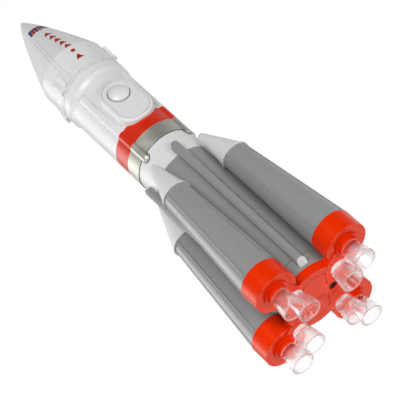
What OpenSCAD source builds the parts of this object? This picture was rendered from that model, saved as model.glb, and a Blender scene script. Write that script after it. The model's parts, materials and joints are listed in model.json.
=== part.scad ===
// Toy launch vehicle: a core stage with four boosters, an upper body with a push
// button, a pointed fairing, and clear nozzles under an orange base.
// Upright, nose toward +Z, standing on the eight nozzle rims at z = 0.

/* [Overall] */
// Height from the nozzle rims to the tip of the nose
total_h = 310; // [300:1:320]
// Height of the booster rims, where the booster noses start
booster_top_z = 111; // [105:1:118]
// Height of the joint between the core tube and the interstage
core_top_z = 135; // [130:1:138]

/* [Nose fairing] */
// Radius of the fairing's straight skirt
fairing_r = 22.7; // [22.2:0.1:23.5]
// Height of the fairing's lower edge
fairing_z = 228.3; // [228:0.1:229]
// Height at which the skirt ends and the nose starts to taper
shoulder_z = 250.5; // [248:0.5:253]
// Exponent of the nose curve, where 1 is a plain cone
nose_power = 0.8; // [0.7:0.05:1]
// Wall of the moulded shells
shell_wall = 1.6; // [1.2:0.1:2]

/* [Upper body] */
// Radius of the upper body
body_r = 21.5; // [21.4:0.1:21.9]
// Height of the upper body's lower edge
body_z = 152.6; // [150:0.1:155]
// Height of the separation ring's lower edge
ring_z = 221.3; // [220:0.1:223]
// Radius of the rounded ridges along the upper body
ridge_r = 3.4; // [3:0.1:3.6]

/* [Hatch and button] */
// Width of the raised hatch pad at its foot
hatch_w = 25.4; // [24.5:0.1:25.6]
// Height of the lowest point of the pad
hatch_z = 171.2; // [170:0.1:173]
// Height of the middle of the button and of the pad's rounded top
button_z = 196.7; // [196:0.1:198]
// Distance of the pad's flat front from the rocket's axis
pad_front = 24; // [23.6:0.1:24.3]
// Radius of the button's domed cap
button_r = 6.4; // [5.8:0.1:6.5]
// How far the button can be pressed
button_travel = 1.4; // [1:0.1:1.5]

/* [Core and boosters] */
// Radius of the core tube and the interstage
core_r = 21; // [20.8:0.1:21.1]
// Distance of a booster's cap from the middle of the core
cap_reach = 34.6; // [34.5:0.1:36]
// Distance of a booster's upper rim from the middle of the core
rim_reach = 29.9; // [29.8:0.1:31]
// Radius of a booster at its cap
booster_r = 13.2; // [12.5:0.1:13.2]
// Radius of a booster at its upper rim
rim_r = 8.6; // [8:0.1:8.7]
// Height of the tips of the booster noses
booster_tip_z = 141.5; // [136:0.5:144]
// Width of a raceway
raceway_w = 5.7; // [5:0.1:6]
// Height of a raceway above the core
raceway_h = 3.6; // [3:0.1:4]

/* [Base] */
// Radius of the orange base disc
disc_r = 21.2; // [21:0.1:21.5]
// Height of the base disc's lower face
disc_z = 15; // [14.8:0.1:15.4]
// Radius of the round caps under the boosters
cap_r = 13.5; // [13.3:0.1:13.6]
// Height of the lower faces of the caps
cap_z = 15.9; // [15.6:0.1:16.2]
// Height of the upper faces of the caps
cap_top_z = 29.2; // [28:0.1:30]

/* [Nozzles] */
// Radius of a nozzle at its mouth
mouth_r = 7.2; // [6.8:0.1:7.2]
// Distance of the inner nozzle of a pair from the middle of the core
inner_reach = 21.3; // [21.3:0.1:21.6]
// Wall of the nozzles
nozzle_wall = 1.1; // [0.9:0.1:1.2]

/* [Battery bay] */
// Half the width of the battery cover
cover_half_w = 7.6; // [7:0.1:7.6]
// Radius of the rounded ends of the battery cover
cover_end_r = 16; // [15:0.1:16]
// Distance of the cover's screw from the middle of the base
screw_reach = 11.7; // [11.5:0.1:12]

/* [Hidden] */
$fn = 96;

cut = 0.5;
fit_gap = 0.1;
skin_gap = 0.03;
face_gap = 0.02;
// Azimuths of the four boosters and of the four raceways
az_a = -45;
az_b = -135;
az_c = 135;
az_d = 45;
az_front = -90;
az_right = 0;
az_back = 90;
az_left = 180;
booster_az = [az_a, az_b, az_c, az_d];
white = [0.88, 0.88, 0.89];
grey = [0.55, 0.56, 0.55];
orange = [0.93, 0.25, 0.1];
clear = [0.9, 0.92, 0.95, 0.4];
black = [0.1, 0.1, 0.1];
steel = [0.75, 0.75, 0.78];
inner_r = core_r - shell_wall;
body_inner_r = body_r - shell_wall;
nose_steps = 28;
spigot_h = 6;

// Steps of the nose curve: share of its height, height and radius
function nose_t(i) = i / nose_steps;
function nose_z(i) = shoulder_z + (total_h - shoulder_z) * nose_t(i);
function nose_r(i) = fairing_r * pow(1 - nose_t(i), nose_power);

// ---- shared shapes ----

module ring(r_out, r_in, z, h) {
    translate([0, 0, z])
        difference() {
            cylinder(r = r_out, h = h);
            translate([0, 0, -cut]) cylinder(r = r_in, h = h + 2 * cut);
        }
}

// A straight rod between two points
module rod(p, q, r) {
    v = q - p;
    len = norm(v);
    translate(p)
        rotate([0, acos(v[2] / len), atan2(v[1], v[0])])
            cylinder(r = r, h = len, $fn = 32);
}

// The fairing's outer form, closed at its lower edge
module fairing_form() {
    rotate_extrude()
        polygon(concat(
            [[0, fairing_z], [fairing_r, fairing_z]],
            [for (i = [0 : nose_steps]) [nose_r(i), nose_z(i)]]));
}

// ---- nose fairing ----

seam_w = 2.2;
seam_cut_w = 0.4;
seam_depth = 0.35;
seam_z = 231;
seam_last = 13;
seam_az = [-123, -57, 57, 123];
blister_r = 1.9;
blister_sink = 0.35;
blister_h = 8.6;
blister_z = 230;
blister_az = [-134, -149, 46, 31];
lug_az = [-112, -69, 68, 111];
lug_size = [2, 3.4, 3];
rib_az = [-107, 73];
rib_size = [1.4, 0.8, 7];
groove_z = 229.6;
groove_depth = 0.25;

// A pair of fine grooves that follow the fairing's outline up to one step of its curve
module seam_grooves(az) {
    outline = concat([[fairing_r, seam_z]],
                     [for (i = [0 : seam_last]) [nose_r(i), nose_z(i)]]);
    rotate([0, 0, az])
        for (side = [-1, 1])
            translate([0, side * seam_w / 2, 0])
                rotate([90, 0, 0])
                    linear_extrude(height = seam_cut_w, center = true)
                        polygon(concat(
                            [for (p = outline) [p[0] + cut, p[1]]],
                            [for (i = [len(outline) - 1 : -1 : 0])
                                [outline[i][0] - seam_depth, outline[i][1]]]));
}

module blister(az) {
    rotate([0, 0, az])
        translate([fairing_r - blister_sink, 0, blister_z]) {
            cylinder(r = blister_r, h = blister_h, $fn = 32);
            translate([0, 0, blister_h]) sphere(r = blister_r, $fn = 32);
        }
}

module standing_block(az, size, z) {
    rotate([0, 0, az])
        translate([fairing_r - size[0] / 2, -size[1] / 2, z])
            cube(size);
}

module nose_fairing() {
    color(white)
        difference() {
            union() {
                fairing_form();
                for (az = blister_az) blister(az);
                for (az = lug_az) standing_block(az, lug_size, fairing_z + cut);
                for (az = rib_az) standing_block(az, rib_size, fairing_z + cut);
            }
            fairing_cavity();
            for (az = seam_az) seam_grooves(az);
            ring(fairing_r + cut, fairing_r - groove_depth, groove_z, groove_depth);
        }
}

// The hollow inside the fairing follows the outer curve one wall further in
module fairing_cavity() {
    rotate_extrude()
        polygon(concat(
            [[0, fairing_z - cut], [fairing_r - shell_wall, fairing_z - cut]],
            [for (i = [0 : nose_steps]) if (nose_r(i) > 2 * shell_wall)
                [nose_r(i) - shell_wall, nose_z(i) - shell_wall]],
            [[0, total_h - 4 * shell_wall]]));
}

latch_size = [3, 5, 10.6];
latch_out = 1.8;
latch_z = 234.4;
latch_az = -24;
tab_az = 156;
tab_z = 228.8;
tab_lip_z = 230;
tab_top_z = 239;
slot_w = 0.8;
slot_h = 7.6;
slot_depth = 0.6;

// A slotted block on one side and a wedge-shaped tab on the other
module fairing_latches() {
    color(white)
        difference() {
            union() {
                rotate([0, 0, latch_az]) latch_block();
                rotate([0, 0, tab_az]) wedge_tab();
            }
            cylinder(r = fairing_r, h = total_h);
        }
}

module latch_block() {
    difference() {
        translate([fairing_r + latch_out - latch_size[0], -latch_size[1] / 2, latch_z])
            cube(latch_size);
        for (side = [-1, 1])
            translate([fairing_r + latch_out - slot_depth, side * latch_size[1] / 4 - slot_w / 2,
                       latch_z + (latch_size[2] - slot_h) / 2])
                cube([latch_size[0], slot_w, slot_h]);
    }
}

module wedge_tab() {
    rotate([90, 0, 0])
        linear_extrude(height = latch_size[1], center = true)
            polygon([
                [fairing_r - cut, tab_z], [fairing_r + latch_out, tab_z],
                [fairing_r + latch_out, tab_lip_z], [fairing_r, tab_top_z],
                [fairing_r - cut, tab_top_z]]);
}

// ---- separation ring ----

ring_r = 22.6;
ring_chamfer = 0.3;

module separation_ring() {
    ring_h = fairing_z - ring_z;
    lip_in = fairing_r - shell_wall - fit_gap;
    color(white)
        rotate_extrude()
            polygon([
                [lip_in - shell_wall, ring_z], [ring_r - ring_chamfer, ring_z],
                [ring_r, ring_z + ring_chamfer], [ring_r, ring_z + ring_h - ring_chamfer],
                [ring_r - ring_chamfer, ring_z + ring_h], [lip_in, ring_z + ring_h],
                [lip_in, ring_z + ring_h + spigot_h],
                [lip_in - shell_wall, ring_z + ring_h + spigot_h]]);
}

// ---- upper body ----

flare_z = 218.4;
flare_r = 22.3;
ridge_z = 147.5;
ridge_top_z = 214.5;
ridge_out = 1.4;
boss_r = 8.6;
boss_y = -16.6;
button_gap = 0.25;
hole_r = button_r + button_gap;
rail_x = 15;
rail_y = -3.4;
rail_t = 2;
rail_z = 178;
rail_h = 36;
board_screw_z = [184, 208];
board_screw_x = 16.9;
pilot_r = 0.8;

module along_y(y, z) {
    translate([0, y, z]) rotate([-90, 0, 0]) children();
}

module body_ridge(az) {
    rotate([0, 0, az])
        translate([body_r + ridge_out - ridge_r, 0, ridge_z + ridge_r]) {
            cylinder(r = ridge_r, h = ridge_top_z - ridge_z - ridge_r, $fn = 48);
            sphere(r = ridge_r, $fn = 48);
            translate([0, 0, ridge_top_z - ridge_z - ridge_r]) sphere(r = ridge_r, $fn = 48);
        }
}

module upper_body() {
    color(white)
        difference() {
            union() {
                rotate_extrude()
                    polygon([
                        [body_inner_r, body_z], [body_r, body_z], [body_r, flare_z],
                        [flare_r, ring_z], [body_inner_r, ring_z]]);
                for (az = booster_az) difference() {
                    body_ridge(az);
                    cylinder(r = body_inner_r + cut, h = total_h);
                }
                intersection() {
                    along_y(-body_r, button_z) cylinder(r = boss_r, h = body_r + boss_y);
                    cylinder(r = body_inner_r + cut, h = total_h);
                }
                for (side = [-1, 1]) intersection() {
                    cylinder(r = body_inner_r + cut, h = total_h);
                    translate([side > 0 ? rail_x : -body_r, rail_y, rail_z])
                        cube([body_r - rail_x, rail_t, rail_h]);
                }
            }
            along_y(-2 * body_r, button_z) cylinder(r = hole_r, h = 2 * body_r);
            cylinder(r = core_r + fit_gap, h = body_z);
            for (side = [-1, 1]) for (z = board_screw_z)
                translate([side * board_screw_x, rail_y - cut, z])
                    rotate([-90, 0, 0]) cylinder(r = pilot_r, h = rail_t + 2 * cut, $fn = 24);
        }
}

// ---- hatch plate and button ----

pad_root_y = -16;
corner_r = 11;
frame_w = 2.2;
groove_w = 0.7;
groove_y = -pad_front + 0.7;
panel_y = -pad_front + 0.3;
dish_w = 1;
dish_depth = 0.9;
// Depth and inset of the pad's outline, from its foot to its front edge
pad_profile = [[pad_root_y, 0], [-pad_front + 1.3, 0.5], [-pad_front + 0.5, 0.9],
               [-pad_front + 0.1, 1.4], [-pad_front, 1.8]];

// A tombstone block that tapers between two depths
module hatch_block(from, to) {
    half = hatch_w / 2;
    centre_x = half - corner_r;
    centre_z = hatch_z + corner_r;
    depth = from[0] - to[0];
    translate([0, from[0], button_z])
        rotate([90, 0, 0]) cylinder(r1 = half - from[1], r2 = half - to[1], h = depth);
    for (side = [-1, 1])
        translate([side * centre_x, from[0], centre_z])
            rotate([90, 0, 0])
                cylinder(r1 = corner_r - from[1], r2 = corner_r - to[1], h = depth);
    translate([0, 0, centre_z])
        linear_extrude(height = button_z - centre_z)
            polygon([
                [from[1] - half, from[0]], [to[1] - half, to[0]],
                [half - to[1], to[0]], [half - from[1], from[0]]]);
    translate([-centre_x, 0, 0])
        rotate([90, 0, 90])
            linear_extrude(height = 2 * centre_x)
                polygon([
                    [from[0], hatch_z + from[1]], [to[0], hatch_z + to[1]],
                    [to[0], button_z], [from[0], button_z]]);
}

module hatch_plate() {
    front = -pad_front - cut;
    color(white)
        difference() {
            union() {
                difference() {
                    for (i = [1 : len(pad_profile) - 1])
                        hatch_block(pad_profile[i - 1], pad_profile[i]);
                    hatch_block([groove_y, frame_w], [front, frame_w]);
                }
                hatch_block([groove_y + cut, frame_w + groove_w / 2], [panel_y, frame_w + groove_w]);
            }
            cylinder(r = body_r + skin_gap, h = total_h);
            along_y(front, button_z) cylinder(r = hole_r + fit_gap, h = body_r);
            along_y(panel_y - cut, button_z)
                cylinder(r1 = hole_r + dish_w * (1 + cut / dish_depth), r2 = hole_r,
                         h = dish_depth + cut);
        }
}

dome_edge_y = -pad_front - 0.2;
dome_h = 1.9;
flange_r = 7.6;
flange_t = 1.2;
stem_r = 2;
stem_end_y = -10.5;
flange_gap = 0.3;
flange_y = boss_y + flange_gap;
dome_sphere_r = (pow(button_r, 2) + pow(dome_h, 2)) / (2 * dome_h);

module button_cap() {
    color(white)
        union() {
            intersection() {
                translate([0, dome_edge_y - dome_h + dome_sphere_r, button_z])
                    rotate([-90, 0, 0]) sphere(r = dome_sphere_r);
                along_y(dome_edge_y - 2 * dome_h, button_z)
                    cylinder(r = button_r, h = 2 * dome_h);
            }
            along_y(dome_edge_y, button_z) cylinder(r = button_r, h = flange_y - dome_edge_y);
            along_y(flange_y, button_z) cylinder(r = flange_r, h = flange_t);
            along_y(flange_y, button_z) cylinder(r = stem_r, h = stem_end_y - flange_y);
        }
}

plunger_r = 1.5;
plunger_len = 3.4;
plunger_gap = 0.2;
bore_spare = 0.4;
switch_y = -8.9;
switch_side = 6.2;
board_y = -5;
board_t = rail_y - board_y;
switch_bore_depth = stem_end_y + plunger_len + button_travel + bore_spare - switch_y;

module switch_plunger() {
    color(black)
        along_y(stem_end_y, button_z) cylinder(r = plunger_r, h = plunger_len);
}

module tact_switch() {
    color(black)
        difference() {
            translate([-switch_side / 2, switch_y, button_z - switch_side / 2])
                cube([switch_side, board_y - switch_y, switch_side]);
            along_y(switch_y - cut, button_z)
                cylinder(r = plunger_r + plunger_gap, h = switch_bore_depth + cut);
        }
}

board_half_w = 18.6;
chip_r = 4;
chip_h = 1.4;
chip_z = 188;
part_size = [3, 1.2, 1.6];
board_hole_r = 1;

module circuit_board() {
    color([0.1, 0.4, 0.2])
        difference() {
            union() {
                translate([-board_half_w, board_y, rail_z])
                    cube([2 * board_half_w, board_t, rail_h]);
                along_y(board_y + board_t - cut, chip_z) cylinder(r = chip_r, h = chip_h + cut);
                for (i = [-1, 0, 1])
                    translate([i * 2 * part_size[0] - part_size[0] / 2,
                               board_y - part_size[1], rail_z + part_size[0]])
                        cube([part_size[0], part_size[1] + cut, part_size[2]]);
            }
            for (side = [-1, 1]) for (z = board_screw_z)
                translate([side * board_screw_x, board_y - cut, z])
                    rotate([-90, 0, 0]) cylinder(r = board_hole_r, h = board_t + 2 * cut, $fn = 24);
        }
}

screw_head_h = 1;
screw_head_r = 1.6;

module board_screws() {
    color(steel)
        for (side = [-1, 1]) for (z = board_screw_z)
            translate([side * board_screw_x, 0, z]) {
                translate([0, board_y - screw_head_h, 0])
                    rotate([-90, 0, 0]) cylinder(r = screw_head_r, h = screw_head_h, $fn = 24);
                translate([0, board_y - cut, 0])
                    rotate([-90, 0, 0])
                        cylinder(r = pilot_r - skin_gap, h = board_t + rail_t + cut, $fn = 24);
            }
}

// ---- interstage and speaker ----

collar_h = 5;
shelf_z = 150;
shelf_t = 1.6;
shelf_hole_r = 12;
plate_az = -108.5;
plate_size = [0.6, 3, 10];
plate_z = 137.4;

module interstage() {
    color(white)
        union() {
            ring(core_r, inner_r, core_top_z, body_z - core_top_z);
            ring(body_inner_r - fit_gap, inner_r - shell_wall, body_z - shelf_t, collar_h);
            ring(inner_r + cut, shelf_hole_r, shelf_z, shelf_t);
            ring(inner_r - fit_gap, inner_r - shell_wall, core_top_z - spigot_h,
                 spigot_h + shelf_t);
            ring(inner_r + cut, inner_r - shell_wall, core_top_z, shelf_t);
            rotate([0, 0, plate_az])
                translate([core_r - plate_size[0] / 2, -plate_size[1] / 2, plate_z])
                    cube(plate_size);
        }
}

speaker_r = 14;
speaker_rim_h = 1.6;
speaker_cone_h = 4;
speaker_h = 6.5;

module speaker() {
    color(black)
        translate([0, 0, shelf_z + shelf_t]) {
            cylinder(r = speaker_r, h = speaker_rim_h);
            cylinder(r1 = speaker_r - 1, r2 = speaker_r / 2, h = speaker_cone_h);
            cylinder(r = speaker_r / 2, h = speaker_h);
        }
}

// ---- core ----

sleeve_top_z = 30;
sleeve_gap = 0.25;
disc_top_z = 20.6;

module core_tube() {
    color(grey) ring(core_r, inner_r, sleeve_top_z + sleeve_gap,
                     core_top_z - sleeve_top_z - sleeve_gap - face_gap);
}

module core_sleeve() {
    color(grey) ring(core_r, inner_r, disc_top_z, sleeve_top_z - disc_top_z);
}

raceway_top_z = 142.6;
raceway_z = 22.6;
raceway_chamfer = 1.1;
raceway_slope = 3.6;

// A bar on the core with bevelled edges, a round top and a sloping lower end
module raceway(az) {
    half = raceway_w / 2;
    outer = core_r + raceway_h;
    root = core_r - 1;
    color(grey)
        rotate([0, 0, az])
            difference() {
                intersection() {
                    linear_extrude(height = raceway_top_z)
                        polygon([
                            [root, -half], [outer - raceway_chamfer, -half],
                            [outer, -half + raceway_chamfer], [outer, half - raceway_chamfer],
                            [outer - raceway_chamfer, half], [root, half]]);
                    rotate([90, 0, 0])
                        linear_extrude(height = raceway_w, center = true)
                            polygon([
                                [root, raceway_z], [core_r, raceway_z],
                                [outer, raceway_z + raceway_slope],
                                [outer, raceway_top_z], [root, raceway_top_z]]);
                    raceway_front_form();
                }
                cylinder(r = core_r + skin_gap, h = total_h);
            }
}

// Front outline of a raceway, rounded at the top
module raceway_front_form() {
    translate([core_r - 2, 0, 0])
        rotate([0, 90, 0])
            linear_extrude(height = raceway_h + 3) {
                translate([raceway_w / 2 - raceway_top_z, 0]) circle(r = raceway_w / 2);
                translate([raceway_w / 2 - raceway_top_z, -raceway_w / 2])
                    square([raceway_top_z - raceway_w / 2, raceway_w]);
            }
}

// ---- boosters ----

lean = atan((cap_reach - rim_reach) / (booster_top_z - cap_top_z));
stringer_az = [-90, 0, 90];
stringer_r = 0.6;
stringer_z = 30.6;
stringer_top_z = 110.3;
booster_wall = 1.4;
nose_lip_r = 9.5;
nose_lip_h = 0.8;
nose_base_r = 8.9;
nose_plug_h = 3;
nose_plug_gap = 0.4;
nose_core_gap = 0.8;
tip_reach = 24.6;
tip_r = 2.6;

function along(z) = (z - cap_top_z) / (booster_top_z - cap_top_z);
function reach_at(z) = cap_reach + (rim_reach - cap_reach) * along(z);
function radius_at(z) = booster_r + (rim_r - booster_r) * along(z);
function on_booster(z, az) = [reach_at(z) + radius_at(z) * cos(az), radius_at(z) * sin(az), z];

// A cone frustum along the leaning axis, cut level at both ends
module leaning_cone(inset, z0, z1) {
    over = 4;
    len = (booster_top_z - cap_top_z) / cos(lean);
    slope = (rim_r - booster_r) / len;
    intersection() {
        translate([cap_reach, 0, cap_top_z])
            rotate([0, -lean, 0])
                translate([0, 0, -over])
                    cylinder(r1 = booster_r - inset - slope * over,
                             r2 = rim_r - inset + slope * over, h = len + 2 * over);
        translate([0, -booster_r * 2, z0]) cube([4 * booster_r, 4 * booster_r, z1 - z0]);
    }
}

module booster(az) {
    color(grey)
        rotate([0, 0, az])
            difference() {
                union() {
                    leaning_cone(0, cap_top_z, booster_top_z);
                    for (side = stringer_az)
                        rod(on_booster(stringer_z, side), on_booster(stringer_top_z, side),
                            stringer_r);
                }
                leaning_cone(booster_wall, cap_top_z - cut, booster_top_z + cut);
            }
}

module booster_nose(az) {
    color(white)
        rotate([0, 0, az])
            difference() {
                union() {
                    translate([rim_reach, 0, booster_top_z])
                        cylinder(r = nose_lip_r, h = nose_lip_h, $fn = 64);
                    hull() {
                        translate([rim_reach, 0, booster_top_z + nose_lip_h / 2])
                            cylinder(r = nose_base_r, h = nose_lip_h, $fn = 48);
                        translate([tip_reach, 0, booster_tip_z - tip_r])
                            sphere(r = tip_r, $fn = 24);
                    }
                    translate([reach_at(booster_top_z - nose_plug_h), 0, booster_top_z - nose_plug_h])
                        cylinder(r = rim_r - booster_wall - nose_plug_gap, h = nose_plug_h + cut, $fn = 48);
                }
                cylinder(r = core_r + nose_core_gap, h = total_h);
            }
}

// ---- base ----

bridge_w = 12;
bridge_z = 15.3;
boss_a_r = 8;
boss_a_z = 14.5;
boss_b_r = 6.4;
boss_b_z = 12.7;
socket_r = 4.8;
socket_top_z = 17.2;
led_hole_r = 2.7;
cover_t = 1.6;
cover_gap = 0.35;
bay_half_x = 5.8;
bay_half_y = 11.3;
tab_r = 4.4;
sleeve_r = 4.2;
sleeve_end_z = 21;
counterbore_r = 2.75;
screw_seat_z = 17.5;
screw_boss_r = 3;
screw_boss_z = 21.4;
screw_boss_top_z = 29;
screw_bore_r = 1.3;
cap_spigot_h = 4;
cap_spigot_gap = 0.7;
cap_spigot_shift = 0.3;
bridge_root = 6;
bridge_drop = 0.2;
sleeve_wall = 1.2;
plug_top_z = 36;
plug_r = inner_r - fit_gap;

// Outline of the battery cover with its screw tab, grown by extra
module cover_outline(extra) {
    intersection() {
        circle(r = cover_end_r + extra);
        translate([-cover_half_w - extra, -2 * cover_end_r])
            square([2 * (cover_half_w + extra), 4 * cover_end_r]);
    }
    translate([0, -tab_r - extra]) square([screw_reach, 2 * (tab_r + extra)]);
    translate([screw_reach, 0]) circle(r = tab_r + extra);
}

module cap_solid(az) {
    rotate([0, 0, az]) {
        translate([cap_reach, 0, cap_z]) cylinder(r = cap_r, h = cap_top_z - cap_z);
        translate([cap_reach, 0, boss_a_z]) cylinder(r = boss_a_r, h = cap_z - boss_a_z + cut);
        translate([cap_reach, 0, boss_b_z]) cylinder(r = boss_b_r, h = cap_z - boss_b_z + cut);
        translate([cap_reach - cap_spigot_shift, 0, cap_top_z - cut])
            cylinder(r = booster_r - booster_wall - cap_spigot_gap, h = cap_spigot_h + cut);
        translate([core_r - bridge_root, -bridge_w / 2, bridge_z])
            cube([cap_reach - core_r, bridge_w, disc_top_z - bridge_z - bridge_drop]);
    }
}

module cap_holes(az) {
    rotate([0, 0, az])
        translate([cap_reach, 0, 0]) {
            translate([0, 0, boss_b_z - cut]) cylinder(r = socket_r, h = socket_top_z - boss_b_z + cut);
            translate([0, 0, boss_b_z]) cylinder(r = led_hole_r, h = plug_top_z);
        }
}

module base_moulding() {
    color(orange)
        difference() {
            union() {
                translate([0, 0, disc_z]) cylinder(r = disc_r, h = disc_top_z - disc_z);
                ring(plug_r, plug_r - shell_wall, disc_top_z - cut, plug_top_z - disc_top_z + cut);
                for (az = booster_az) cap_solid(az);
                translate([screw_reach, 0, disc_top_z - cut])
                    cylinder(r = sleeve_r + sleeve_wall, h = screw_boss_z - disc_top_z + cut);
                translate([screw_reach, 0, screw_boss_z - cut])
                    cylinder(r = screw_boss_r, h = screw_boss_top_z - screw_boss_z + cut);
            }
            for (az = booster_az) cap_holes(az);
            for (az = booster_az) rotate([0, 0, az])
                translate([cap_reach, 0, 0]) core_side_trim();
            translate([0, 0, disc_z - cut])
                linear_extrude(height = cover_t + cover_gap / 2 + cut) cover_outline(cover_gap);
            translate([-bay_half_x, -bay_half_y, disc_z])
                cube([2 * bay_half_x, 2 * bay_half_y, screw_boss_top_z]);
            translate([screw_reach, 0, disc_z])
                cylinder(r = sleeve_r + cover_gap, h = sleeve_end_z - disc_z + cover_gap);
            translate([screw_reach, 0, disc_z])
                cylinder(r = screw_bore_r, h = screw_boss_top_z - disc_z - sleeve_wall, $fn = 32);
        }
}

// Keeps the caps clear of the core sleeve above the disc
module core_side_trim() {
    translate([-cap_reach, 0, disc_top_z])
        ring(core_r + fit_gap, inner_r - 2, 0, cap_top_z);
}

// ---- nozzles ----

throat_z = 12.6;
inner_top_z = 13.2;
web_t = 1.6;
web_z = 2.5;
web_drop = 0.4;
dome_slope = 2;
stub_r = 4.6;
stub_top_z = 17;
bell_steps = 8;
bell_drop = 1.9;
cavity_top_z = 10.8;

// Outer radius of a bell, one curve from the mouth to the throat
function bell_r(z) = mouth_r - bell_drop * pow(z / throat_z, 1.3);
function cavity_r(z) = bell_r(z) - nozzle_wall;

module bell(top_z) {
    rotate_extrude()
        polygon(concat(
            [[0, 0], [mouth_r, 0]],
            [for (i = [1 : bell_steps]) let (z = throat_z * i / bell_steps) [bell_r(z), z]],
            [[bell_r(throat_z) - (top_z - throat_z) * dome_slope, top_z], [0, top_z]]));
}

module bell_cavity() {
    round_r = 1.2;
    rotate_extrude()
        polygon(concat(
            [[0, -cut], [cavity_r(0), -cut]],
            [for (i = [0 : bell_steps - 1]) let (z = (cavity_top_z - round_r) * i / (bell_steps - 1))
                [cavity_r(z), z]],
            [[cavity_r(cavity_top_z) - round_r, cavity_top_z], [0, cavity_top_z]]));
}

module nozzle_pair(az) {
    color(clear)
        rotate([0, 0, az])
            difference() {
                union() {
                    translate([cap_reach, 0, 0]) bell(throat_z);
                    translate([cap_reach, 0, throat_z - cut])
                        cylinder(r = stub_r, h = stub_top_z - throat_z + cut);
                    translate([inner_reach, 0, 0]) bell(inner_top_z);
                    translate([inner_reach, -web_t / 2, web_z])
                        cube([cap_reach - inner_reach, web_t, throat_z - web_z - web_drop]);
                }
                translate([cap_reach, 0, 0]) bell_cavity();
                translate([inner_reach, 0, 0]) bell_cavity();
            }
}

led_r = 2.5;
led_len = 6;

module nozzle_leds() {
    color([1, 0.3, 0.2])
        for (az = booster_az)
            rotate([0, 0, az])
                translate([cap_reach, 0, socket_top_z + led_r]) {
                    sphere(r = led_r, $fn = 32);
                    cylinder(r = led_r, h = led_len, $fn = 32);
                }
}

// ---- battery bay ----

box_wall = 1.2;
box_z = disc_top_z + face_gap;
box_top_z = 67;
cell_r = 5.2;
cell_y = 5.6;
cell_z = 18.4;
cell_len = 43.6;
nub_r = 1.9;
nub_h = 0.9;
contact_t = 0.4;

module battery_box() {
    color(white)
        difference() {
            translate([-bay_half_x - box_wall, -bay_half_y - box_wall, box_z])
                cube([2 * (bay_half_x + box_wall), 2 * (bay_half_y + box_wall), box_top_z - box_z]);
            translate([-bay_half_x, -bay_half_y, box_z - cut])
                cube([2 * bay_half_x, 2 * bay_half_y, box_top_z - box_z - box_wall + cut]);
        }
}

module battery_cells() {
    color([0.2, 0.35, 0.7])
        for (side = [-1, 1])
            translate([0, side * cell_y, cell_z]) {
                cylinder(r = cell_r, h = cell_len, $fn = 48);
                translate([0, 0, side > 0 ? cell_len - cut : -nub_h])
                    cylinder(r = nub_r, h = nub_h + cut, $fn = 32);
            }
}

// A leaf over the two cells, with a pin down to each
module battery_contacts() {
    room = box_top_z - box_wall - cell_z - cell_len;
    leaf = 2 * cell_r - 2;
    color(steel)
        for (side = [-1, 1])
            translate([0, side * cell_y, cell_z + cell_len]) {
                start = (side > 0 ? nub_h : 0) + face_gap;
                translate([0, 0, start])
                    cylinder(r = nub_r, h = room - contact_t - start, $fn = 32);
                translate([-leaf / 2, -leaf / 2, room - contact_t - face_gap])
                    cube([leaf, leaf, contact_t]);
            }
}

slot_mark = [4.2, 0.9, 0.4];
slot_mark_at = [0.7, 2.3];

module battery_cover() {
    color(orange)
        difference() {
            union() {
                translate([0, 0, disc_z])
                    linear_extrude(height = cover_t) cover_outline(0);
                translate([screw_reach, 0, disc_z])
                    cylinder(r = sleeve_r, h = sleeve_end_z - disc_z);
            }
            translate([screw_reach, 0, disc_z - cut])
                cylinder(r = counterbore_r, h = screw_seat_z - disc_z + cut);
            translate([screw_reach, 0, disc_z])
                cylinder(r = screw_bore_r, h = sleeve_end_z, $fn = 32);
            translate([slot_mark_at[0], slot_mark_at[1], disc_z - cut])
                cube([slot_mark[0], slot_mark[1], slot_mark[2] + cut]);
        }
}

link_size = [8, 19, 0.4];

module cover_contact() {
    color(steel)
        translate([-link_size[0] / 2, -link_size[1] / 2, disc_z + cover_t + face_gap])
            cube(link_size);
}

head_r = 2.55;
head_h = 1.7;
shank_r = 1.1;
shank_top_z = 27.6;
cross_w = 0.7;
cross_depth = 0.9;
cross_span = 0.7;
seat_gap = 0.05;

module cover_screw() {
    head_z = screw_seat_z - head_h - seat_gap;
    color(steel)
        translate([screw_reach, 0, 0])
            difference() {
                union() {
                    translate([0, 0, head_z]) cylinder(r = head_r, h = head_h);
                    translate([0, 0, head_z]) cylinder(r = shank_r, h = shank_top_z - head_z, $fn = 32);
                }
                for (turn = [0, 90]) rotate([0, 0, turn])
                    translate([-head_r * cross_span, -cross_w / 2, head_z - cut])
                        cube([2 * head_r * cross_span, cross_w, cross_depth + cut]);
            }
}

nose_fairing();
fairing_latches();
separation_ring();
upper_body();
hatch_plate();
button_cap();
switch_plunger();
tact_switch();
circuit_board();
board_screws();
speaker();
interstage();
core_tube();
core_sleeve();
raceway(az_front);  // raceway_front
raceway(az_right);  // raceway_right
raceway(az_back);  // raceway_back
raceway(az_left);  // raceway_left
booster(az_a);  // booster_a
booster(az_b);  // booster_b
booster(az_c);  // booster_c
booster(az_d);  // booster_d
booster_nose(az_a);  // booster_nose_a
booster_nose(az_b);  // booster_nose_b
booster_nose(az_c);  // booster_nose_c
booster_nose(az_d);  // booster_nose_d
base_moulding();
nozzle_pair(az_a);  // nozzle_pair_a
nozzle_pair(az_b);  // nozzle_pair_b
nozzle_pair(az_c);  // nozzle_pair_c
nozzle_pair(az_d);  // nozzle_pair_d
nozzle_leds();
battery_box();
battery_cells();
battery_contacts();
battery_cover();
cover_contact();
cover_screw();
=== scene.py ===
import json
import math

import bmesh
import bpy
from mathutils import Matrix, Vector
from mathutils.bvhtree import BVHTree


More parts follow.
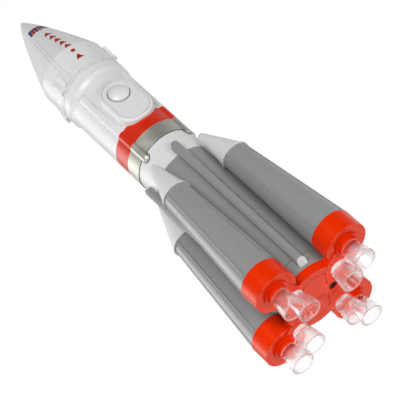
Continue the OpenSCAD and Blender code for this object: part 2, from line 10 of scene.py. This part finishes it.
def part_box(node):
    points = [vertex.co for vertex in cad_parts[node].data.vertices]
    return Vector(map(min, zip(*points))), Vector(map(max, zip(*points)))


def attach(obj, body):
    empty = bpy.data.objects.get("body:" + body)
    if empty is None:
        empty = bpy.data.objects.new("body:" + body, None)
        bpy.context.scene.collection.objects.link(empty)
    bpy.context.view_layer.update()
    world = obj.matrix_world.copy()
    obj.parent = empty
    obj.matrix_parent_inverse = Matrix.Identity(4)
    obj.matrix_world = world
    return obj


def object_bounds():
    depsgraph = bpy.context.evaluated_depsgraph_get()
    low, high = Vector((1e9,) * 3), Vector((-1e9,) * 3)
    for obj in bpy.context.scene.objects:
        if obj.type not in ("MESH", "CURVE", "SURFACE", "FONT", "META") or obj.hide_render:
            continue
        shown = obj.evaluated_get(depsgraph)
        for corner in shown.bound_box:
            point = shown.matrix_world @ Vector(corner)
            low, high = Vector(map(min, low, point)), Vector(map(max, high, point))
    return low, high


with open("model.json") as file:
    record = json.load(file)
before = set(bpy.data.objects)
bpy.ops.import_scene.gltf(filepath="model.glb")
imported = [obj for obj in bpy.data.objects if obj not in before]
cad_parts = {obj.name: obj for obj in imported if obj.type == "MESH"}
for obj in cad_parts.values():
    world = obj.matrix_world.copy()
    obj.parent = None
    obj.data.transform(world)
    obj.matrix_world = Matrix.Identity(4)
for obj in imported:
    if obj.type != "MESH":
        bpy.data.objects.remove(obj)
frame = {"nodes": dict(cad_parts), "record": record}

cad_low, cad_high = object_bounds()
nodes = frame["nodes"]
MM = 0.001

# Painted bands on the upper body: heights of their edges, and the radius that parts the painted
# seam shade on the lower end face from the ridges
RED_TOP = 175.7 * MM
RED_LOW = 163.5 * MM
BODY_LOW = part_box("interstage")[1].z - 3.4 * MM
WALL_RADIUS = 21.6 * MM
SILVER_METAL = 0.75
SILVER_MATT = 0.12

WHITE = (0.645, 0.645, 0.648)
GREY = (0.25, 0.255, 0.25)
ORANGE = (0.71, 0.022, 0.0)
RED = (0.56, 0.016, 0.0)
SILVER = (0.5, 0.49, 0.435)
NAVY = (0.02, 0.025, 0.12)
STEEL = (0.5, 0.5, 0.52)
DARK_STEEL = (0.03, 0.03, 0.032)
SEAM_SHADE_GREY = (0.1, 0.1, 0.095)
CLEAR = (0.99, 0.98, 0.98)
CLEAR_DIM = (0.95, 0.935, 0.935)
MILKY_WITH_PINK_REFLECTION = (0.82, 0.74, 0.75)
BLACK = (0.02, 0.02, 0.021)
LAMP = (0.75, 0.12, 0.08)
BOARD_GREEN = (0.02, 0.16, 0.05)
TRACK_GREEN = (0.05, 0.3, 0.1)
CELL_DARK = (0.03, 0.035, 0.05)
CELL_COPPER = (0.62, 0.3, 0.12)


# ---- materials ----

class Graph:
    """A node tree that is built one socket at a time."""

    def __init__(self, tree):
        self.tree = tree

    def add(self, kind, **settings):
        node = self.tree.nodes.new(kind)
        for key, value in settings.items():
            setattr(node, key, value)
        return node

    def put(self, socket, value):
        if isinstance(value, bpy.types.NodeSocket):
            self.tree.links.new(value, socket)
        else:
            socket.default_value = value

    def math(self, operation, first, second):
        node = self.add("ShaderNodeMath", operation=operation)
        self.put(node.inputs[0], first)
        self.put(node.inputs[1], second)
        return node.outputs[0]

    def inverse(self, value):
        return self.math("SUBTRACT", 1.0, value)

    def scaled(self, value, factor, offset):
        """value * factor + offset."""
        result = self.math("MULTIPLY_ADD", value, factor)
        self.put(result.node.inputs[2], offset)
        return result


class Paint(Graph):
    """A material with one Principled shader, measured in the object's own coordinates."""

    def __init__(self, name):
        self.material = bpy.data.materials.new(name)
        self.material.use_nodes = True
        super().__init__(self.material.node_tree)
        self.shader = self.tree.nodes["Principled BSDF"]
        self.place = self.add("ShaderNodeTexCoord").outputs["Object"]

    def noise(self, scale, detail=3.0, stretch=(1, 1, 1)):
        mapping = self.add("ShaderNodeMapping")
        mapping.inputs["Scale"].default_value = stretch
        self.put(mapping.inputs["Vector"], self.place)
        node = self.add("ShaderNodeTexNoise")
        node.inputs["Scale"].default_value = scale
        node.inputs["Detail"].default_value = detail
        self.put(node.inputs["Vector"], mapping.outputs["Vector"])
        return node.outputs["Fac"]

    def spread(self, value, low, high):
        """Noise, which is mostly 0.3 to 0.7, spread over low to high."""
        node = self.add("ShaderNodeMapRange")
        self.put(node.inputs["Value"], value)
        node.inputs["From Min"].default_value = 0.3
        node.inputs["From Max"].default_value = 0.7
        node.inputs["To Min"].default_value = low
        node.inputs["To Max"].default_value = high
        return node.outputs["Result"]

    def mix(self, factor, first, second):
        """The colour first at factor 0, second at 1. The node's colour sockets are 6, 7 and output 2."""
        node = self.add("ShaderNodeMix", data_type="RGBA")
        self.put(node.inputs["Factor"], factor)
        for socket, value in zip((node.inputs[6], node.inputs[7]), (first, second)):
            self.put(socket, value if isinstance(value, bpy.types.NodeSocket) else (*value, 1))
        return node.outputs[2]

    def height(self):
        node = self.add("ShaderNodeSeparateXYZ")
        self.put(node.inputs[0], self.place)
        return node.outputs["Z"]

    def radius(self):
        """Distance from the rocket's axis."""
        flat = self.add("ShaderNodeVectorMath", operation="MULTIPLY")
        self.put(flat.inputs[0], self.place)
        flat.inputs[1].default_value = (1, 1, 0)
        length = self.add("ShaderNodeVectorMath", operation="LENGTH")
        self.put(length.inputs[0], flat.outputs["Vector"])
        return length.outputs["Value"]

    def above(self, value, limit, soft=0.05 * MM):
        """1 where value is over limit, 0 under it, over a short blend."""
        node = self.add("ShaderNodeMapRange")
        self.put(node.inputs["Value"], value)
        node.inputs["From Min"].default_value = limit - soft
        node.inputs["From Max"].default_value = limit + soft
        return node.outputs["Result"]

    def bump(self, value, distance, strength=1.0):
        """Relief on top of whatever already bends the normal."""
        node = self.add("ShaderNodeBump")
        node.inputs["Distance"].default_value = distance
        node.inputs["Strength"].default_value = strength
        self.put(node.inputs["Height"], value)
        if self.shader.inputs["Normal"].is_linked:
            self.put(node.inputs["Normal"], self.shader.inputs["Normal"].links[0].from_socket)
        self.put(self.shader.inputs["Normal"], node.outputs["Normal"])

    def soften(self, radius):
        """Edges that look rounded, with the mesh as it was."""
        node = self.add("ShaderNodeBevel", samples=4)
        node.inputs["Radius"].default_value = radius
        self.put(self.shader.inputs["Normal"], node.outputs["Normal"])


def shade(colour, factor):
    return tuple(min(1.0, c * factor) for c in colour)


def moulded(name, colour, rough, edge=0.15 * MM, grain=0.006 * MM, wave=0.12):
    """Injection-moulded plastic: soft edges, faint flow marks, fine grain and uneven gloss."""
    paint = Paint(name)
    flow = paint.noise(28, 4, (1, 1, 0.35))
    tone = paint.mix(paint.spread(flow, 0, 1), shade(colour, 0.965), shade(colour, 1.03))
    paint.put(paint.shader.inputs["Base Color"], tone)
    gloss = paint.noise(160, 6)
    paint.put(paint.shader.inputs["Roughness"], paint.spread(gloss, rough - 0.05, rough + 0.06))
    paint.soften(edge)
    paint.bump(paint.noise(2600, 2), grain)
    paint.bump(paint.noise(70, 2, (1, 1, 0.3)), grain * 4, wave)
    return paint


def orange_plastic():
    """Glossy orange-red with warm highlights."""
    paint = moulded("orange_plastic", ORANGE, 0.26)
    paint.shader.inputs["Specular IOR Level"].default_value = 0.4
    paint.shader.inputs["Specular Tint"].default_value = (1.0, 0.45, 0.15, 1.0)
    return paint


def white_plastic(name="white_plastic"):
    paint = moulded(name, WHITE, 0.3)
    paint.shader.inputs["Subsurface Weight"].default_value = 0.08
    paint.shader.inputs["Subsurface Radius"].default_value = (0.002, 0.002, 0.002)
    return paint


def banded_body():
    """White above, then a red and a silver band of paint, with painted shade on the lower end face where
    it meets the interstage.
    """
    paint = white_plastic("banded_body")
    base = paint.shader.inputs["Base Color"].links[0].from_socket
    level = paint.math("ADD", paint.height(), paint.math("MULTIPLY", paint.noise(700, 2), 0.1 * MM))
    white_part = paint.above(level, RED_TOP)
    painted_red = paint.above(level, RED_LOW)
    fleck = paint.spread(paint.noise(5200, 2), 0, 1)
    silver = paint.mix(fleck, shade(SILVER, 0.9), shade(SILVER, 1.1))
    red = paint.mix(paint.spread(paint.noise(45, 4), 0, 1), shade(RED, 0.95), shade(RED, 1.04))
    tone = paint.mix(painted_red, silver, paint.mix(white_part, red, base))
    # Painted shade: the lower end face, off the ridges, is coloured dark as the shadow in the seam with
    # the interstage.
    edge = paint.inverse(paint.above(paint.height(), BODY_LOW + 0.15 * MM))
    wall = paint.inverse(paint.above(paint.radius(), WALL_RADIUS))
    tone = paint.mix(paint.math("MULTIPLY", edge, wall), tone, SEAM_SHADE_GREY)
    paint.put(paint.shader.inputs["Base Color"], tone)
    metal = paint.inverse(painted_red)
    paint.put(paint.shader.inputs["Metallic"], paint.math("MULTIPLY", metal, SILVER_METAL))
    rough = paint.shader.inputs["Roughness"].links[0].from_socket
    paint.put(paint.shader.inputs["Roughness"], paint.scaled(metal, SILVER_MATT, rough))
    return paint


def clear_plastic():
    """Clear polystyrene: bends what lies behind it, milky at the mouths' rims, with a painted pink
    reflection of the orange parts there.
    """
    paint = Paint("clear_plastic")
    waves = paint.spread(paint.noise(160, 3), 0, 1)
    clear = paint.mix(waves, CLEAR_DIM, CLEAR)
    # Painted reflection: the rims are milky, and their pink tint stands in for the orange parts reflected
    # in them.
    rim = paint.inverse(paint.above(paint.height(), 0.35 * MM, 0.3 * MM))
    paint.put(paint.shader.inputs["Base Color"], paint.mix(rim, clear, MILKY_WITH_PINK_REFLECTION))
    paint.put(paint.shader.inputs["Transmission Weight"], paint.scaled(rim, -0.5, 0.96))
    paint.shader.inputs["IOR"].default_value = 1.36
    weight = paint.add("ShaderNodeLayerWeight")
    weight.inputs["Blend"].default_value = 0.3
    paint.put(paint.shader.inputs["Alpha"], paint.scaled(weight.outputs["Facing"], 0.3, 0.5))
    paint.put(paint.shader.inputs["Roughness"], paint.spread(paint.noise(200, 4), 0.0, 0.02))
    return paint


def turned_steel(name, colour):
    """Steel with fine turning marks."""
    paint = moulded(name, colour, 0.32, 0.1 * MM)
    paint.shader.inputs["Metallic"].default_value = 1.0
    paint.bump(paint.noise(1500, 3, (1, 1, 6)), 0.01 * MM)
    return paint


def circuit_green():
    """Solder mask with fine copper tracks under it."""
    paint = moulded("circuit_green", BOARD_GREEN, 0.35)
    tracks = paint.add("ShaderNodeTexVoronoi", feature="DISTANCE_TO_EDGE")
    tracks.inputs["Scale"].default_value = 260
    paint.put(tracks.inputs["Vector"], paint.place)
    line = paint.above(tracks.outputs["Distance"], 0.06, 0.01)
    base = paint.shader.inputs["Base Color"].links[0].from_socket
    paint.put(paint.shader.inputs["Base Color"], paint.mix(line, TRACK_GREEN, base))
    return paint


def wrapped_cell():
    """Printed cell wrap: dark body with a copper-coloured upper part and no marks."""
    paint = moulded("wrapped_cell", CELL_DARK, 0.25)
    base = paint.shader.inputs["Base Color"].links[0].from_socket
    low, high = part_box("battery_cells")
    split = paint.above(paint.height(), low.z + 0.72 * (high.z - low.z))
    paint.put(paint.shader.inputs["Base Color"], paint.mix(split, base, CELL_COPPER))
    return paint


MATERIALS = {}


def build_materials():
    MATERIALS.update({
        "body": banded_body(),
        "white_plastic": white_plastic(),
        "grey_plastic": moulded("grey_plastic", GREY, 0.22, 0.12 * MM, 0.003 * MM),
        "orange_plastic": orange_plastic(),
        "clear_plastic": clear_plastic(),
        "black_plastic": moulded("black_plastic", BLACK, 0.4),
        "green_board": circuit_green(),
        "screw_steel": turned_steel("screw_steel", STEEL),
        "dark_steel": turned_steel("dark_steel", DARK_STEEL),
        "led_plastic": moulded("led_plastic", LAMP, 0.12),
        "cell_wrap": wrapped_cell(),
        "red_print": moulded("red_print", shade(RED, 0.6), 0.4, grain=0.004 * MM),
        "navy_print": moulded("navy_print", NAVY, 0.4, grain=0.004 * MM),
    })


def dress_nodes():
    """Every CAD node takes the material of its slot in the record."""
    slots = {part["node"]: part["material_slot"] for part in frame["record"]["subparts"]}
    for name, node in nodes.items():
        key = "body" if name == "upper_body" else slots[name]
        node.data.materials.clear()
        node.data.materials.append(MATERIALS[key].material)
        if key == "clear_plastic":
            node.visible_shadow = False


# ---- printed marks on the fairing ----

PRINT_LIFT = 0.04 * MM
WELD = 0.001 * MM


def surface_of(name):
    mesh = bmesh.new()
    mesh.from_mesh(nodes[name].data)
    tree = BVHTree.FromBMesh(mesh)
    mesh.free()
    return tree


def on_surface(tree, azimuth, height, lift):
    """The point over the surface at an azimuth (radians) and a height."""
    out = Vector((math.cos(azimuth), math.sin(azimuth), 0))
    start = out * cad_high.z + Vector((0, 0, height))
    hit = tree.ray_cast(start, -out)[0]
    return hit + out * lift


def print_mark(name, tree, azimuth, low, high, half_width, material, rows=12, columns=8):
    """A thin printed patch. half_width(t) is its half width, with t from 0 at the low end to 1."""
    mesh = bmesh.new()
    grid = []
    for i in range(rows + 1):
        t = i / rows
        height = low + (high - low) * t
        radius = on_surface(tree, azimuth, height, 0).xy.length
        spread = half_width(t) / radius
        grid.append([
            mesh.verts.new(on_surface(tree, azimuth + spread * (2 * j / columns - 1), height, PRINT_LIFT))
            for j in range(columns + 1)
        ])
    for lower, upper in zip(grid, grid[1:]):
        for j in range(columns):
            mesh.faces.new((lower[j], lower[j + 1], upper[j + 1], upper[j]))
    bmesh.ops.remove_doubles(mesh, verts=mesh.verts, dist=WELD)
    data = bpy.data.meshes.new(name)
    mesh.to_mesh(data)
    mesh.free()
    for face in data.polygons:
        face.use_smooth = True
    piece = bpy.data.objects.new(name, data)
    bpy.context.scene.collection.objects.link(piece)
    data.materials.append(MATERIALS[material].material)
    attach(piece, "rocket")


# The marks' azimuths in degrees, and their heights and sizes
MARK_AZIMUTH = -88
ARROW_COUNT = 5
ARROW_STEP = 6 * MM
ARROW_HEIGHT = 4.4 * MM
ARROW_HALF_WIDTH = 2.6 * MM
TOP_ARROW = 274.5 * MM
LAST_ARROW = 237.5 * MM
DOT_CENTRE = 245.8 * MM
DOT_RADIUS = 1.5 * MM
BAR_LOW = 285.5 * MM
BAR_HIGH = 292 * MM
BAR_HALF_WIDTH = 0.95 * MM
BAR_COUNT = 7
FIRST_BAR = -118
BAR_TURN = 12


def arrowhead(t):
    return ARROW_HALF_WIDTH * (1 - t)


def dot(t):
    return DOT_RADIUS * math.sqrt(max(0.0, 1 - (2 * t - 1) ** 2))


def bar(_):
    return BAR_HALF_WIDTH


def print_arrow(number, tree, low):
    row = math.radians(MARK_AZIMUTH)
    print_mark(f"arrow_mark_{number}", tree, row, low, low + ARROW_HEIGHT, arrowhead, "red_print")


def print_fairing_marks():
    """A row of arrowheads with a dot, and a band of short two-colour bars near the tip."""
    tree = surface_of("nose_fairing")
    for i in range(ARROW_COUNT):
        print_arrow(i + 1, tree, TOP_ARROW - i * ARROW_STEP)
    row = math.radians(MARK_AZIMUTH)
    print_mark("dot_mark", tree, row, DOT_CENTRE - DOT_RADIUS, DOT_CENTRE + DOT_RADIUS, dot, "red_print")
    print_arrow(ARROW_COUNT + 1, tree, LAST_ARROW)
    for i in range(BAR_COUNT):
        azimuth = math.radians(FIRST_BAR + BAR_TURN * i)
        colour = "red_print" if i % 2 else "navy_print"
        print_mark(f"bar_mark_{i + 1}", tree, azimuth, BAR_LOW, BAR_HIGH, bar, colour)


# ---- camera, floor and light ----

# The photograph's camera, fitted to the round edges of the bands, caps, disc and nozzles
LOOK_AT = Vector((0.0026, 0.0185, 0.1295))
CAMERA_AZIMUTH = math.radians(-22.35)
CAMERA_ELEVATION = math.radians(-35.33)
CAMERA_ROLL = math.radians(-47.1)
CAMERA_DISTANCE = 1.267
LENS = 194.9
# Brightness of the room, and of its dark side, whose blend is given as cosines from its middle
ROOM = 0.66
ROOM_DARK = 0.08
DARK_START = 0.9
DARK_END = 0.25
# The camera looks up at the base, so the floor lies well under the camera
FLOOR_DROP = 3.0
FLOOR_HALF = 30.0
# Name, azimuth and elevation in degrees, distance and diameter in metres, power in watts
LIGHTS = [
    ("key", -100, -8, 1.2, 0.8, 1.2),
    ("edge", -124, 35, 1.2, 0.75, 3.6),
    ("low", 28, -49, 1.2, 0.4, 4.0),
    ("under", 158, -35, 1.2, 1.0, 1.3),
    ("front", -28, 2, 1.2, 0.7, 10.3),
    ("back", 110, 25, 1.6, 1.0, 1.0),
]


def direction(azimuth, elevation):
    return Vector((
        math.sin(azimuth) * math.cos(elevation),
        -math.cos(azimuth) * math.cos(elevation),
        math.sin(elevation),
    ))


def place_camera():
    data = bpy.data.cameras.new("camera")
    data.lens = LENS
    camera = bpy.data.objects.new("camera", data)
    bpy.context.scene.collection.objects.link(camera)
    back = direction(CAMERA_AZIMUTH, CAMERA_ELEVATION)
    facing = (-back).to_track_quat("-Z", "Y").to_matrix()
    camera.matrix_world = Matrix.Translation(LOOK_AT + back * CAMERA_DISTANCE) @ (
        facing @ Matrix.Rotation(CAMERA_ROLL, 3, "Z")
    ).to_4x4()
    bpy.context.scene.camera = camera
    return camera


def place_floor(height):
    data = bpy.data.meshes.new("floor")
    signs = [(-1, -1), (1, -1), (1, 1), (-1, 1)]
    corners = [(x * FLOOR_HALF, y * FLOOR_HALF, height) for x, y in signs]
    data.from_pydata(corners, [], [(0, 1, 2, 3)])
    floor = bpy.data.objects.new("floor", data)
    bpy.context.scene.collection.objects.link(floor)
    paint = Paint("pale_floor")
    tone = paint.mix(paint.spread(paint.noise(3, 3), 0, 1), (0.86, 0.86, 0.86), (0.9, 0.9, 0.9))
    paint.put(paint.shader.inputs["Base Color"], tone)
    paint.shader.inputs["Roughness"].default_value = 0.8
    paint.shader.inputs["Emission Color"].default_value = (1, 1, 1, 1)
    paint.shader.inputs["Emission Strength"].default_value = 0.4
    data.materials.append(paint.material)
    floor.visible_glossy = False
    floor.visible_diffuse = False
    floor.visible_transmission = False


def area_light(name, azimuth, elevation, distance, size, power):
    data = bpy.data.lights.new(name, "AREA")
    data.shape = "DISK"
    data.size = size
    data.energy = power
    light = bpy.data.objects.new(name, data)
    centre = (cad_low + cad_high) / 2
    back = direction(math.radians(azimuth), math.radians(elevation))
    light.location = centre + back * distance
    light.rotation_mode = "QUATERNION"
    light.rotation_quaternion = (-back).to_track_quat("-Z", "Y")
    bpy.context.scene.collection.objects.link(light)


def toward(graph, centre):
    """1 for rays close to a direction, falling to 0 away from it."""
    along = graph.add("ShaderNodeVectorMath", operation="DOT_PRODUCT")
    graph.put(along.inputs[0], graph.add("ShaderNodeTexCoord").outputs["Generated"])
    along.inputs[1].default_value = centre
    ramp = graph.add("ShaderNodeMapRange", interpolation_type="SMOOTHSTEP")
    graph.put(ramp.inputs["Value"], along.outputs["Value"])
    ramp.inputs["From Min"].default_value = DARK_END
    ramp.inputs["From Max"].default_value = DARK_START
    return ramp.outputs["Result"]


def light_room():
    """A pale room, darker high in front, that looks plain white behind the rocket."""
    world = bpy.data.worlds.new("studio")
    world.use_nodes = True
    graph = Graph(world.node_tree)
    dark_side = toward(graph, direction(CAMERA_AZIMUTH / 2, -CAMERA_ELEVATION))
    path = graph.add("ShaderNodeLightPath")
    seen = graph.math("MAXIMUM", path.outputs["Is Camera Ray"], path.outputs["Is Transmission Ray"])
    choose = graph.add("ShaderNodeMapRange")
    graph.put(choose.inputs["Value"], seen)
    graph.put(choose.inputs["To Min"], graph.scaled(dark_side, ROOM_DARK - ROOM, ROOM))
    choose.inputs["To Max"].default_value = 1.0
    background = graph.tree.nodes["Background"]
    background.inputs["Color"].default_value = (1, 1, 1, 1)
    graph.put(background.inputs["Strength"], choose.outputs["Result"])
    bpy.context.scene.world = world


def light_scene():
    light_room()
    for light in LIGHTS:
        area_light(*light)
    bpy.context.scene.view_settings.view_transform = "Standard"


build_materials()
dress_nodes()
print_fairing_marks()
camera = place_camera()
place_floor(camera.location.z - FLOOR_DROP)
light_scene()
